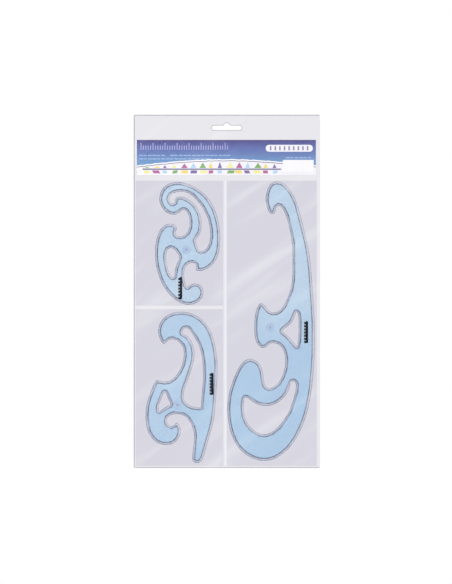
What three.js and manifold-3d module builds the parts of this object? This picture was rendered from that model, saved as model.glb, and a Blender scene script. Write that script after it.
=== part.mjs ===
// A set of three french curves in a clear welded film pouch that hangs on a peg by its header.
// Millimetres. X is the pouch's width, +Z is up, and the front of the pouch faces -Y.
// The origin is the top of the hang slot, at the middle of the film's thickness.

import * as THREE from 'three';
import { mergeVertices } from 'three/addons/utils/BufferGeometryUtils.js';
import Module from 'manifold-3d';

const wasm = await Module();
wasm.setup();

// ---- Driving dimensions ----

// Pouch outline
const POUCH_WIDTH = 194;
const POUCH_TOP = 8.2;
const POUCH_BOTTOM = -359;

// Layers from back to front, along Y
const FILM_THICKNESS = 0.2;
const SEAM_THICKNESS = 0.1;
const LAYER_GAP = 0.05;
const CARD_THICKNESS = 0.35;
const LABEL_THICKNESS = 0.1;
const MARK_THICKNESS = 0.1;
const PLATE_THICKNESS = 1.8;
const PLATE_TO_FILM = 0.25;

// Welded seams
const LEFT_SEAM_WIDTH = 2.1;
const RIGHT_SEAM_WIDTH = 3.4;
const BOTTOM_SEAM_HEIGHT = 2;
const HEADER_SEAM_TOP = -55.4;
const HEADER_SEAM_HEIGHT = 4.9;
const CENTRE_SEAM_WIDTH = 4.4;
const CENTRE_SEAM_X = -2;
const CROSS_SEAM_TOP = -190.3;
const CROSS_SEAM_HEIGHT = 3.7;
const HANG_TAB_BOTTOM = -16.8;
const SEAM_END_GAP = 0.3;

// Hang slot: a long slot with rounded ends and a round-topped notch in the middle for a single peg
const SLOT_WIDTH = 32;
const SLOT_TOP = -2.7;
const SLOT_BOTTOM = -8.1;
const NOTCH_WIDTH = 7.4;
const CUTTER_LENGTH = 4;

// Header card and its blank price label
const CARD_LEFT = -93.5;
const CARD_RIGHT = 92.7;
const CARD_TOP = -17.9;
const CARD_BOTTOM = -54.4;
const LABEL_WIDTH = 32;
const LABEL_HEIGHT = 12.6;
const LABEL_X = 74.4;
const LABEL_Z = -45;
const CARD_CORNER = 0.5;

// Moulded plates: a thin ledge all round keeps ink off the paper, and the core inside it is thicker.
// The ledge's rim is bevelled, and a slope joins the ledge to the core.
const LEDGE_WIDTH = 2;
const LEDGE_THICKNESS = 0.9;
const RIM_BEVEL_WIDTH = 0.4;
const RIM_BEVEL_HEIGHT = 0.35;
const CORE_SLOPE_WIDTH = 0.8;
const GATE_DIAMETER = 8;
const GATE_FLOOR_DIAMETER = 6.4;
const GATE_DEPTH = 0.4;
const GATE_PIP_DIAMETER = 2.4;
const GATE_PIP_TOP_DIAMETER = 1.6;
const GATE_PIP_HEIGHT = 0.3;
const MARK_WIDTH = 4.2;
const MARK_LENGTH = 23;
const MARK_CORNER = 1;

// Where each plate's gate mark lies in its pocket. The outlines below are measured from it.
const SMALL_GATE = [-42, -132.1];
const MEDIUM_GATE = [-51.2, -293.6];
const LARGE_GATE = [45.1, -213];

// How finely the outlines are followed
const SAMPLE_STEP = 0.4;
const CHORD_ERROR = 0.04;
const CORNER_FAN_ANGLE = 0.3;
const INSET_TOLERANCE = 0.006;
const ROUND_SEGMENTS = 24;
const CORNER_SEGMENTS = 2;

// Colours
const FILM_COLOUR = 0xdcdce4;
const SEAM_COLOUR = 0xe9e9f0;
const CARD_COLOUR = 0x7a86c4;
const LABEL_COLOUR = 0xf8f8f8;
const PLATE_COLOUR = 0xb4cce8;
const MARK_COLOUR = 0x14161c;

// ---- Values that follow from them ----

const HALF_WIDTH = POUCH_WIDTH / 2;
const SEAM_FRONT = -SEAM_THICKNESS / 2;
const REAR_FILM_FRONT = SEAM_THICKNESS / 2 + LAYER_GAP;
const PLATE_REAR = REAR_FILM_FRONT - PLATE_TO_FILM;
const PLATE_FRONT = PLATE_REAR - PLATE_THICKNESS;
const MARK_REAR = PLATE_FRONT - LAYER_GAP;
const CARD_REAR = REAR_FILM_FRONT - LAYER_GAP;
const CARD_FRONT = CARD_REAR - CARD_THICKNESS;
const LABEL_REAR = CARD_FRONT - LAYER_GAP;

// The inner face of the front film: low where it is welded, higher over the card and the plates
const FILM_ON_SEAM = SEAM_FRONT - LAYER_GAP;
const FILM_ON_CARD = LABEL_REAR - LABEL_THICKNESS - 2 * LAYER_GAP;
const FILM_ON_PLATE = MARK_REAR - MARK_THICKNESS - PLATE_TO_FILM + LAYER_GAP;

const LEFT_SEAM_EDGE = -HALF_WIDTH + LEFT_SEAM_WIDTH;
const RIGHT_SEAM_EDGE = HALF_WIDTH - RIGHT_SEAM_WIDTH;
const CENTRE_SEAM_LEFT = CENTRE_SEAM_X - CENTRE_SEAM_WIDTH / 2;
const CENTRE_SEAM_RIGHT = CENTRE_SEAM_X + CENTRE_SEAM_WIDTH / 2;
const HEADER_SEAM_BOTTOM = HEADER_SEAM_TOP - HEADER_SEAM_HEIGHT;
const CROSS_SEAM_BOTTOM = CROSS_SEAM_TOP - CROSS_SEAM_HEIGHT;
const BOTTOM_SEAM_TOP = POUCH_BOTTOM + BOTTOM_SEAM_HEIGHT;

// ---- Outlines of the curves ----
// Each outline is a list of runs. A run is a smooth line through its points, and runs meet at corners.
// An outline with one run that names no corner is smooth all the way round.

const SMALL_OUTLINE = [
  [[10, -21.8], [10.4, -18.5], [9.4, -15], [6, -13.6], [1.8, -15], [-1.4, -19], [-2.4, -25], [-2, -32],
    [-0.6, -36.4], [1, -39]],
  [[1, -39], [4.4, -36.4], [9, -35.2], [13.6, -36.4], [16.8, -40], [17.8, -45], [16, -50.4], [11.4, -54.8],
    [4.6, -57.2], [-3, -56.6], [-10, -53], [-17.4, -46.6], [-24, -37.6], [-29, -26], [-32, -13.4],
    [-32.6, -1], [-31, 11], [-27, 21], [-21.4, 26], [-15, 26.8], [-11.4, 25], [-9.8, 22], [-11.2, 19.2],
    [-11.4, 16.2], [-9.2, 14.2], [-6, 13.8], [-2.5, 15], [0.8, 18], [3, 23], [3.4, 30], [2, 36.5],
    [-0.4, 40.2], [-3, 41.4], [-5.4, 40.4], [-8, 38.2], [-12.6, 36.4], [-18, 37.4], [-22.6, 40.4],
    [-26.2, 45.4], [-28.2, 52], [-27, 59], [-23.4, 65], [-17, 69], [-8.6, 70.4], [1, 68.6], [11, 63.8],
    [20.4, 56.4], [27.4, 46.4], [32.2, 34], [34.6, 21], [35, 8], [33.4, -4], [29, -13.4], [22, -19.6],
    [15.6, -22], [10, -21.8]],
];

const SMALL_SLOT = [
  [[9.4, 10.4], [12, 13.6], [14.2, 17.2], [15.4, 22], [15.8, 28], [15, 34.4], [12.8, 40.4], [9.4, 45.8],
    [5, 50.2], [0.6, 53], [-4, 55], [-8.4, 55], [-11.2, 53.4], [-12, 50.8], [-12.4, 48.8], [-14.2, 48],
    [-16.4, 49.2], [-17.6, 51.6], [-17.4, 54.6], [-15.4, 57.6], [-11.6, 59.4], [-5, 60.2], [0.4, 59.4],
    [5.6, 56.6], [10, 52.6], [14, 47.6], [18, 41.6], [21.4, 34.4], [23.6, 27], [24.8, 19], [24.6, 11],
    [22.8, 4.6], [19.6, 0], [16, -1.4], [12.8, -0.2], [11.2, 3.4], [10.2, 7.2], [9.4, 10.4]],
];

const SMALL_LEAF = [
  [[-21, -6], [-20.9, -12], [-19.8, -18], [-18, -23.6], [-16, -27.4], [-14, -28.8], [-12.4, -27.6],
    [-12, -23.6], [-11.2, -18.4], [-9.4, -13.4], [-7.6, -9.6], [-7.4, -7.2], [-8.8, -4.4], [-11.6, -0.8],
    [-14.2, 1.2], [-16.6, 1.8], [-18.8, 0.6], [-20.4, -2]],
];

const MEDIUM_OUTLINE = [
  [[-21.6, 26.2], [-17.6, 24.8], [-12.6, 24.2], [-7.6, 25.4], [-3, 29], [1, 34], [4, 40], [6, 47],
    [6.6, 54], [5.6, 60], [2.4, 64.4], [-2, 67.6], [-6.6, 68.4], [-10.2, 66.8], [-12.2, 64.6],
    [-14.2, 63.6], [-16.2, 64.8], [-18, 68], [-19.8, 73], [-20.2, 78], [-18.8, 83.6], [-15.6, 89],
    [-11, 93], [-4.6, 95.8], [4, 97], [12.6, 95.8], [20.6, 92.4], [27.4, 87], [33, 79.4], [37, 70],
    [39.6, 59], [41.2, 48], [41.6, 36], [41, 22], [40, 8], [39.4, -2], [38.2, -12], [36.2, -22],
    [33.4, -32], [30.2, -43], [27, -54], [25, -58], [21.8, -60.2], [18.4, -60], [15.8, -57.8],
    [15.4, -53.4], [16.2, -45], [17, -37], [17, -29.6], [15.2, -22.4], [11.6, -15.6], [6.8, -11.2],
    [1, -9.6], [-5, -9.8], [-8.8, -11.6], [-11, -14.8], [-11, -18], [-9, -21], [-6, -22], [-3.2, -20.6],
    [-1.2, -18.2]],
  [[-1.2, -18.2], [1.4, -20.6], [3, -24], [3.2, -28.4], [1.8, -33], [-1.2, -37.4], [-5.6, -40.4],
    [-11, -41.6], [-17, -41], [-22.6, -38.2], [-27.4, -33.4], [-31, -26.4], [-32.8, -18], [-33.2, -9.6],
    [-32.4, -1], [-30.4, 7], [-27.8, 14], [-25, 21], [-21.6, 26.2]],
];

const MEDIUM_SLOT = [
  [[24.4, -2.2], [24.8, 4], [25.4, 12], [26, 20], [26.6, 30], [26.4, 40], [25.4, 50], [23.6, 58],
    [20.8, 65], [17.4, 71], [14.2, 75.6], [11.6, 79], [9, 80], [6.4, 79.2], [5, 76.8], [5.2, 74.4],
    [7.2, 73], [10, 72], [12.6, 69.2], [15.2, 64.6], [17, 59], [17.6, 52], [16.8, 45], [14.8, 38],
    [12, 30], [9, 21.6], [6.8, 14.6], [6.2, 8.4], [7.4, 4], [10.4, 0.8], [14.6, -1.4], [19.6, -2.4],
    [24.4, -2.2]],
];

const MEDIUM_TRIANGLE = [
  [[-13.2, 13.2], [-12, 12.2], [-10.8, 9], [-9, 4.8], [-7.4, 1.4], [-7.8, -0.2], [-10.4, -0.9],
    [-14.4, -3.4], [-18.2, -6.4], [-19.4, -6.2], [-19.7, -3.8], [-19.2, 0.4], [-18, 4], [-15.8, 9.2],
    [-14.4, 12.4]],
];

const LARGE_OUTLINE = [
  [[6.6, 151.8], [12.8, 150.6], [18, 146.4], [22.6, 140.4], [26.6, 132.6], [29.6, 124], [32, 115],
    [34.6, 105], [37, 95], [39.2, 85], [41, 75], [42.4, 63], [43.4, 51], [44.4, 38], [45.2, 25],
    [46, 10], [46.4, -5], [46.4, -20], [45.8, -35], [44.8, -50], [43.4, -62], [41.4, -75], [38.8, -87],
    [35, -98.6], [30, -110], [24, -120], [16.6, -128.4], [8, -134.8], [-1, -138.2], [-10, -138.4],
    [-18.6, -135.8], [-27, -130.8], [-34.4, -123], [-39.6, -113], [-43, -101], [-44.4, -89],
    [-44.2, -78], [-42.4, -67], [-39.4, -57], [-35.6, -47.6], [-31, -39.2], [-26, -34.2], [-20.6, -32.6],
    [-15.2, -34.4], [-10.6, -38.6], [-8, -44.6], [-7, -52], [-6, -58.4], [-3.8, -62], [-0.8, -63.2],
    [3.4, -61.6], [8, -58], [11.4, -53], [13.6, -47.6], [15.2, -41.6], [15.8, -35], [15.2, -28.4],
    [13.2, -22.6], [9.6, -18.4], [5, -16.4], [1.2, -16.4], [-1.8, -18.2], [-4.6, -20.6], [-7.6, -21.2],
    [-10.8, -20], [-13.6, -16.4], [-15.6, -11], [-16.4, -4], [-16.4, 4], [-15.8, 11.6], [-14.2, 18.4],
    [-12, 23.4], [-9.4, 25.4], [-6.2, 23.4], [-3, 19.4], [0, 16.6], [4, 15.4], [8, 16.6], [12, 20],
    [15.6, 25.4], [19, 32.6], [21.6, 41], [23, 51], [23.4, 62], [23.4, 75], [22.8, 87], [21.4, 97],
    [19.2, 107], [16.6, 116], [13.6, 122.4], [11, 125.8], [8.6, 126.6], [6.6, 124.8], [5.6, 121.4],
    [4, 118.6], [1.2, 118.2], [-1.6, 120.6], [-3.4, 126], [-4.6, 132], [-4.2, 138], [-2.4, 144.6],
    [1.2, 149.8]],
];

const LARGE_TRIANGLE = [
  [[27.4, 16], [29, 14], [29.6, 8], [29.7, 0], [29.6, -8], [28.8, -17], [27.8, -19.6], [26, -18],
    [22.6, -13.2], [18.6, -9], [14.6, -5.8], [12.8, -4], [13.4, -2.2], [17, 0.4], [20.6, 3.4], [23.4, 7],
    [25.4, 12]],
];

const LARGE_CRESCENT = [
  [[21.4, -57.6], [23, -56], [25, -56.4], [26.8, -59], [26.4, -66], [24.4, -74], [21.6, -82.2], [17.8, -90.4],
    [12.8, -98.2], [6.6, -105.2], [0.4, -109.6], [-6, -111.2], [-12, -109.8], [-18, -106], [-23.4, -99.6],
    [-26.6, -92], [-27.6, -83], [-27.2, -77], [-26, -73], [-23, -73.6], [-18, -77.4], [-12, -80.4],
    [-5, -81.6], [2, -80.8], [8, -78], [14, -73], [18.4, -67], [20.4, -61]],
];

// ---- Working with outlines ----

// Points along one run, closely spaced. A closed run comes back to its start without a corner.
function followRun(points, closed) {
  const curve = new THREE.CatmullRomCurve3(points.map(([x, y]) => new THREE.Vector3(x, y, 0)), closed);
  curve.arcLengthDivisions = points.length * 40;
  const steps = Math.ceil(curve.getLength() / SAMPLE_STEP);
  return curve.getSpacedPoints(steps).slice(0, -1).map((point) => new THREE.Vector2(point.x, point.y));
}

// The whole outline as one loop of points, anticlockwise round the material or clockwise round a hole.
function followOutline(runs, isHole) {
  const [first, last] = [runs[0][0], runs.at(-1).at(-1)];
  const closed = runs.length === 1 && (first[0] !== last[0] || first[1] !== last[1]);
  const loop = runs.flatMap((run) => followRun(run, closed));
  return THREE.ShapeUtils.isClockWise(loop) === isHole ? loop : loop.reverse();
}

function distanceToSegment(point, start, end) {
  const along = end.clone().sub(start);
  const reach = point.clone().sub(start).dot(along) / along.lengthSq();
  return point.distanceTo(start.clone().addScaledVector(along, THREE.MathUtils.clamp(reach, 0, 1)));
}

function leftNormal(start, end) {
  const along = end.clone().sub(start).normalize();
  return new THREE.Vector2(-along.y, along.x);
}

// The loop moved into the material by a distance. Points that end up nearer the loop than that are dropped.
function insetLoop(loop, distance) {
  const moved = [];
  loop.forEach((point, index) => {
    const before = leftNormal(loop.at(index - 1), point);
    const after = leftNormal(point, loop[(index + 1) % loop.length]);
    const turn = Math.atan2(before.cross(after), before.dot(after));
    const fans = turn < 0 ? Math.ceil(-turn / CORNER_FAN_ANGLE) : 1;
    for (let fan = 0; fan < fans; fan += 1) {
      const angle = before.angle() + turn * (fan + 0.5) / fans;
      const offset = new THREE.Vector2(Math.cos(angle), Math.sin(angle)).multiplyScalar(distance);
      moved.push(offset.add(point));
    }
  });
  const nearest = distance * (1 - INSET_TOLERANCE);
  return moved.filter((point) => loop.every((start, index) => {
    const end = loop[(index + 1) % loop.length];
    return distanceToSegment(point, start, end) > nearest;
  }));
}

// The stretch of points from first to last, without those that lie close to its straight lines.
function thinStretch(points, first, last) {
  let farthest = first;
  let stray = CHORD_ERROR;
  for (let index = first + 1; index < last; index += 1) {
    const distance = distanceToSegment(points[index], points[first], points[last]);
    if (distance > stray) {
      stray = distance;
      farthest = index;
    }
  }
  if (farthest === first) return [points[first]];
  return [...thinStretch(points, first, farthest), ...thinStretch(points, farthest, last)];
}

function thinLoop(loop) {
  const half = Math.floor(loop.length / 2);
  const closed = [...loop, loop[0]];
  return [...thinStretch(closed, 0, half), ...thinStretch(closed, half, loop.length)];
}

// ---- Working with solids ----

// A flat slab from a shape drawn in X and Z, from its rear face forwards.
function slab(shape, rear, thickness, curveSegments = CORNER_SEGMENTS) {
  const geometry = new THREE.ExtrudeGeometry(shape, { depth: thickness, bevelEnabled: false, curveSegments });
  return geometry.rotateX(Math.PI / 2).translate(0, rear, 0);
}

function solidOf(geometry) {
  const bare = geometry.clone();
  bare.deleteAttribute('normal');
  bare.deleteAttribute('uv');
  const merged = mergeVertices(bare, 1e-4);
  return new wasm.Manifold(new wasm.Mesh({
    numProp: 3,
    vertProperties: new Float32Array(merged.attributes.position.array),
    triVerts: new Uint32Array(merged.index.array),
  }));
}

function geometryOf(solid) {
  const mesh = solid.getMesh();
  const geometry = new THREE.BufferGeometry();
  geometry.setAttribute('position', new THREE.BufferAttribute(mesh.vertProperties, 3));
  geometry.setIndex(new THREE.BufferAttribute(mesh.triVerts, 1));
  geometry.computeVertexNormals();
  return geometry;
}

function rectangle(left, right, bottom, top, corner = 0) {
  const shape = new THREE.Shape();
  shape.moveTo(left + corner, bottom);
  shape.lineTo(right - corner, bottom);
  if (corner) shape.absarc(right - corner, bottom + corner, corner, -Math.PI / 2, 0);
  shape.lineTo(right, top - corner);
  if (corner) shape.absarc(right - corner, top - corner, corner, 0, Math.PI / 2);
  shape.lineTo(left + corner, top);
  if (corner) shape.absarc(left + corner, top - corner, corner, Math.PI / 2, Math.PI);
  shape.lineTo(left, bottom + corner);
  if (corner) shape.absarc(left + corner, bottom + corner, corner, Math.PI, Math.PI * 1.5);
  return shape;
}

function material(color, roughness, opacity = 1) {
  return new THREE.MeshStandardMaterial({
    color, roughness, metalness: 0, opacity, transparent: opacity < 1,
  });
}

function part(name, geometry, surface) {
  const mesh = new THREE.Mesh(geometry, surface);
  mesh.name = name;
  return mesh;
}

// ---- The pouch ----

// The hang slot's outline: the long slot, with the notch's round top at the origin.
function slotShape() {
  const endRadius = (SLOT_TOP - SLOT_BOTTOM) / 2;
  const endX = SLOT_WIDTH / 2 - endRadius;
  const middle = (SLOT_TOP + SLOT_BOTTOM) / 2;
  const notchRadius = NOTCH_WIDTH / 2;
  const rise = -notchRadius - SLOT_TOP;
  const notchX = Math.sqrt(notchRadius ** 2 - rise ** 2);
  const notchStart = Math.asin(-rise / notchRadius);
  const shape = new THREE.Shape();
  shape.moveTo(-endX, SLOT_BOTTOM);
  shape.lineTo(endX, SLOT_BOTTOM);
  shape.absarc(endX, middle, endRadius, -Math.PI / 2, Math.PI / 2);
  shape.lineTo(notchX, SLOT_TOP);
  shape.absarc(0, -notchRadius, notchRadius, notchStart, Math.PI - notchStart);
  shape.lineTo(-endX, SLOT_TOP);
  shape.absarc(-endX, middle, endRadius, Math.PI / 2, Math.PI * 1.5);
  return shape;
}

function withHangSlot(geometry) {
  const cutter = solidOf(slab(slotShape(), CUTTER_LENGTH / 2, CUTTER_LENGTH, ROUND_SEGMENTS / 2));
  return geometryOf(solidOf(geometry).subtract(cutter));
}

function rearFilm() {
  const sheet = rectangle(-HALF_WIDTH, HALF_WIDTH, POUCH_BOTTOM, POUCH_TOP);
  const rear = REAR_FILM_FRONT + FILM_THICKNESS;
  return part('rear_film', withHangSlot(slab(sheet, rear, FILM_THICKNESS)), material(FILM_COLOUR, 0.15, 0.3));
}

// A raised panel of the front film: its outer face as a box, and the hollow behind it as a smaller box.
function raisedPanel(left, right, bottom, top, innerFace) {
  const rear = FILM_ON_SEAM;
  const wall = FILM_THICKNESS;
  const outer = rectangle(left, right, bottom, top);
  const hollow = rectangle(left + wall, right - wall, bottom + wall, top - wall);
  const depth = rear - innerFace;
  return {
    skin: solidOf(slab(outer, rear, depth + wall)),
    hollow: solidOf(slab(hollow, rear + wall, depth + wall)),
  };
}

// One sheet that lies flat on the seams and stands proud over the card and the three plates.
function frontFilm() {
  const panels = [
    raisedPanel(LEFT_SEAM_EDGE, RIGHT_SEAM_EDGE, HEADER_SEAM_TOP, HANG_TAB_BOTTOM, FILM_ON_CARD),
    raisedPanel(LEFT_SEAM_EDGE, CENTRE_SEAM_LEFT, CROSS_SEAM_TOP, HEADER_SEAM_BOTTOM, FILM_ON_PLATE),
    raisedPanel(LEFT_SEAM_EDGE, CENTRE_SEAM_LEFT, BOTTOM_SEAM_TOP, CROSS_SEAM_BOTTOM, FILM_ON_PLATE),
    raisedPanel(CENTRE_SEAM_RIGHT, RIGHT_SEAM_EDGE, BOTTOM_SEAM_TOP, HEADER_SEAM_BOTTOM, FILM_ON_PLATE),
  ];
  const sheet = rectangle(-HALF_WIDTH, HALF_WIDTH, POUCH_BOTTOM, POUCH_TOP);
  let film = solidOf(withHangSlot(slab(sheet, FILM_ON_SEAM, FILM_THICKNESS)));
  panels.forEach(({ skin }) => { film = film.add(skin); });
  panels.forEach(({ hollow }) => { film = film.subtract(hollow); });
  return part('front_film', geometryOf(film), material(FILM_COLOUR, 0.15, 0.3));
}

// The fused film between the two sheets: a thin bar wherever they are welded to each other.
function seam(name, left, right, bottom, top) {
  const bar = slab(rectangle(left, right, bottom, top), SEAM_THICKNESS / 2, SEAM_THICKNESS);
  return part(name, bar, material(SEAM_COLOUR, 0.35, 0.6));
}

function hangTab() {
  const tab = seam('hang_tab', -HALF_WIDTH, HALF_WIDTH, HANG_TAB_BOTTOM, POUCH_TOP);
  tab.geometry = withHangSlot(tab.geometry);
  return tab;
}

function seams() {
  const gap = SEAM_END_GAP;
  const sideTop = HANG_TAB_BOTTOM - gap;
  const insideLeft = LEFT_SEAM_EDGE + gap;
  const insideRight = RIGHT_SEAM_EDGE - gap;
  return [
    hangTab(),
    seam('left_seam', -HALF_WIDTH, LEFT_SEAM_EDGE, POUCH_BOTTOM, sideTop),
    seam('right_seam', RIGHT_SEAM_EDGE, HALF_WIDTH, POUCH_BOTTOM, sideTop),
    seam('header_seam', insideLeft, insideRight, HEADER_SEAM_BOTTOM, HEADER_SEAM_TOP),
    seam('bottom_seam', insideLeft, insideRight, POUCH_BOTTOM, BOTTOM_SEAM_TOP),
    seam('centre_seam', CENTRE_SEAM_LEFT, CENTRE_SEAM_RIGHT, BOTTOM_SEAM_TOP + gap, HEADER_SEAM_BOTTOM - gap),
    seam('cross_seam', insideLeft, CENTRE_SEAM_LEFT - gap, CROSS_SEAM_BOTTOM, CROSS_SEAM_TOP),
  ];
}

// ---- What the pouch holds ----

function headerCard() {
  const shape = rectangle(CARD_LEFT, CARD_RIGHT, CARD_BOTTOM, CARD_TOP, CARD_CORNER);
  return part('header_card', slab(shape, CARD_REAR, CARD_THICKNESS), material(CARD_COLOUR, 0.5));
}

function priceLabel() {
  const [halfWidth, halfHeight] = [LABEL_WIDTH / 2, LABEL_HEIGHT / 2];
  const shape = rectangle(-halfWidth, halfWidth, -halfHeight, halfHeight, CARD_CORNER);
  const label = part('price_label', slab(shape, LABEL_REAR, LABEL_THICKNESS), material(LABEL_COLOUR, 0.6));
  label.position.set(LABEL_X, 0, LABEL_Z);
  return label;
}

// The plate's edge from its rear corner to its front face: how far in from the outline, and how far forward.
const EDGE_PROFILE = [
  { inset: 0, rise: 0 },
  { inset: 0, rise: LEDGE_THICKNESS - RIM_BEVEL_HEIGHT },
  { inset: RIM_BEVEL_WIDTH, rise: LEDGE_THICKNESS },
  { inset: LEDGE_WIDTH, rise: LEDGE_THICKNESS },
  { inset: LEDGE_WIDTH + CORE_SLOPE_WIDTH, rise: PLATE_THICKNESS },
];

// The loops of one step of the edge profile, with the place of each loop's first point in the vertex list.
function profileStep(loops, { inset, rise }, vertices) {
  return loops.map((loop) => {
    const points = thinLoop(inset ? insetLoop(loop, inset) : loop);
    const first = vertices.length;
    points.forEach((point) => vertices.push([point.x, PLATE_REAR - rise, point.y]));
    return { points, indices: points.map((_, index) => first + index), inset };
  });
}

// Triangles that fill an outer loop around its holes, facing the front.
function fill(outer, holes) {
  const indices = [outer, ...holes].flatMap((loop) => loop.indices);
  const corners = [outer, ...holes].flatMap((loop) => loop.points);
  const faces = THREE.ShapeUtils.triangulateShape(outer.points, holes.map((hole) => hole.points));
  return faces.map(([a, b, c]) => {
    const turn = corners[b].clone().sub(corners[a]).cross(corners[c].clone().sub(corners[a]));
    return turn > 0 ? [indices[a], indices[b], indices[c]] : [indices[a], indices[c], indices[b]];
  });
}

// Triangles between a loop and the same loop at the next step of the profile.
function join(lower, upper, isHole) {
  if (lower.inset !== upper.inset) return isHole ? fill(upper, [lower]) : fill(lower, [upper]);
  return lower.indices.flatMap((start, index) => {
    const next = (index + 1) % lower.indices.length;
    const [end, endAbove, startAbove] = [lower.indices[next], upper.indices[next], upper.indices[index]];
    return [[start, end, endAbove], [start, endAbove, startAbove]];
  });
}

// A plate's body: its flat rear and front faces, and the stepped edge round the outside and the cutouts.
function steppedPlate(loops) {
  const vertices = [];
  const steps = EDGE_PROFILE.map((step) => profileStep(loops, step, vertices));
  const [rear, front] = [steps[0], steps.at(-1)];
  const faces = fill(rear[0], rear.slice(1)).map(([a, b, c]) => [a, c, b]);
  faces.push(...fill(front[0], front.slice(1)));
  for (let step = 1; step < steps.length; step += 1) {
    loops.forEach((_, index) => faces.push(...join(steps[step - 1][index], steps[step][index], index > 0)));
  }
  const geometry = new THREE.BufferGeometry();
  geometry.setAttribute('position', new THREE.Float32BufferAttribute(vertices.flat(), 3));
  geometry.setIndex(faces.flat());
  return geometry;
}

// A short round taper along Y, between two places.
function taper(rearDiameter, frontDiameter, rear, front) {
  const bar = new THREE.CylinderGeometry(rearDiameter / 2, frontDiameter / 2, rear - front, ROUND_SEGMENTS);
  return solidOf(bar.translate(0, (rear + front) / 2, 0));
}

// A moulded plate with the dished gate mark and its pip on the front.
function curvePlate(name, outline, cutouts) {
  const loops = [followOutline(outline, false), ...cutouts.map((cutout) => followOutline(cutout, true))];
  const floor = PLATE_FRONT + GATE_DEPTH;
  const flare = (GATE_DIAMETER - GATE_FLOOR_DIAMETER) * 2;
  const dish = taper(GATE_FLOOR_DIAMETER, GATE_FLOOR_DIAMETER + flare, floor, floor - GATE_DEPTH * 2);
  const pip = taper(GATE_PIP_DIAMETER, GATE_PIP_TOP_DIAMETER, floor + GATE_DEPTH, floor - GATE_PIP_HEIGHT);
  const solid = solidOf(steppedPlate(loops)).subtract(dish).add(pip);
  return part(name, geometryOf(solid), material(PLATE_COLOUR, 0.12, 0.75));
}

function printedMark(name, x, z) {
  const [halfWidth, halfLength] = [MARK_WIDTH / 2, MARK_LENGTH / 2];
  const bar = rectangle(-halfWidth, halfWidth, -halfLength, halfLength, MARK_CORNER);
  const mark = part(name, slab(bar, MARK_REAR, MARK_THICKNESS), material(MARK_COLOUR, 0.4));
  mark.position.set(x, 0, z);
  return mark;
}

// One curve with its printed mark, placed in its pocket by its gate mark.
function curve(size, outline, cutouts, gate, markPlace) {
  const group = new THREE.Group();
  group.add(curvePlate(`${size}_curve`, outline, cutouts));
  group.add(printedMark(`${size}_mark`, ...markPlace));
  group.position.set(gate[0], 0, gate[1]);
  return group;
}

const pack = new THREE.Group();
pack.add(rearFilm(), frontFilm(), ...seams(), headerCard(), priceLabel());
pack.add(curve('small', SMALL_OUTLINE, [SMALL_SLOT, SMALL_LEAF], SMALL_GATE, [-6.4, -40]));
pack.add(curve('medium', MEDIUM_OUTLINE, [MEDIUM_SLOT, MEDIUM_TRIANGLE], MEDIUM_GATE, [35.4, 22]));
pack.add(curve('large', LARGE_OUTLINE, [LARGE_TRIANGLE, LARGE_CRESCENT], LARGE_GATE, [37.4, -4.8]));

export default pack;
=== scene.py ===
import math
from itertools import product

import bpy
import numpy as np
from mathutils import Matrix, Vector


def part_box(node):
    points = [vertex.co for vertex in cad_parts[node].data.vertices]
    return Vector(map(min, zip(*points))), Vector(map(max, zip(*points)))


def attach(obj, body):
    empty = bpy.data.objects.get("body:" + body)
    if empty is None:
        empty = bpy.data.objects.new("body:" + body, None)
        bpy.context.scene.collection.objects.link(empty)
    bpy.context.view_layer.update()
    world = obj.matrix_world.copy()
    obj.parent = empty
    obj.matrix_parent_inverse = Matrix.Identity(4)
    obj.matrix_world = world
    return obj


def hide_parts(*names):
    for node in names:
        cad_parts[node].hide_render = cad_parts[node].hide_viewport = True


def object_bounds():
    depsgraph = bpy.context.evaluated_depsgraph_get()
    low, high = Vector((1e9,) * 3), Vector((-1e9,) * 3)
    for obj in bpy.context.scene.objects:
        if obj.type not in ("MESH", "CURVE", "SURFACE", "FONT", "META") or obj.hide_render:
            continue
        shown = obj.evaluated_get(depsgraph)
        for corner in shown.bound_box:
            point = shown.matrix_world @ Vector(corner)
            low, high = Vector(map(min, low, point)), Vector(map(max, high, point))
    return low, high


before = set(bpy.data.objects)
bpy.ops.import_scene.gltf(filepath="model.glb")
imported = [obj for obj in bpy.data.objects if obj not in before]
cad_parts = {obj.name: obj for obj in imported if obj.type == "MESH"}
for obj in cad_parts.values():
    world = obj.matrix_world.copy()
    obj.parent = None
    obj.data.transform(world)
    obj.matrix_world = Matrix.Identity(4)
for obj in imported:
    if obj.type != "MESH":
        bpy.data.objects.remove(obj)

# The looks of a set of three french curves in a clear welded film pouch with a header card.
# Sizes are in millimetres and turned into metres where a mesh is made. The front faces -Y.

CAD_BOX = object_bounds()
MM = 0.001

# ---- Sizes ----

# Film: how far the front sheet stands out over the plates and the card, how fast it rises at a weld, and its
# creases and corner folds, which die away within the calm margin of a weld
FRONT_LIFT = {"card": 0.75, "plate": 2.35}
REAR_LIFT = 0.12
RAMP = 1.5
FILM_EDGE = 0.1
GRID_STEP = 2.6
GRID_EDGE = (0, 0.25, 0.6, 1.1, 1.8, 3.0)
CREASE_COUNT = 7
CREASE_HEIGHT = 0.55
CREASE_WIDTHS = (3.5, 8)
CREASE_LENGTHS = (25, 60)
CREASE_BOW = 0.0025
CALM_MARGIN = 7
CREASE_ANGLE = math.radians(36)
CORNER_FOLD_HEIGHT = 0.5
CORNER_FOLD_LENGTH = 22

# Fused seams, and the bead that the cutting wire leaves round the pouch and its slot
WELD_HALF_THICKNESS = 0.22
BEAD_RADIUS = 0.42
BEAD_INSET = 0.8
POUCH_CORNER = 1.6
SLOT_WIDTH = 32
SLOT_TOP = -2.7
SLOT_BOTTOM = -8.1
NOTCH_WIDTH = 7.4

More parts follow.
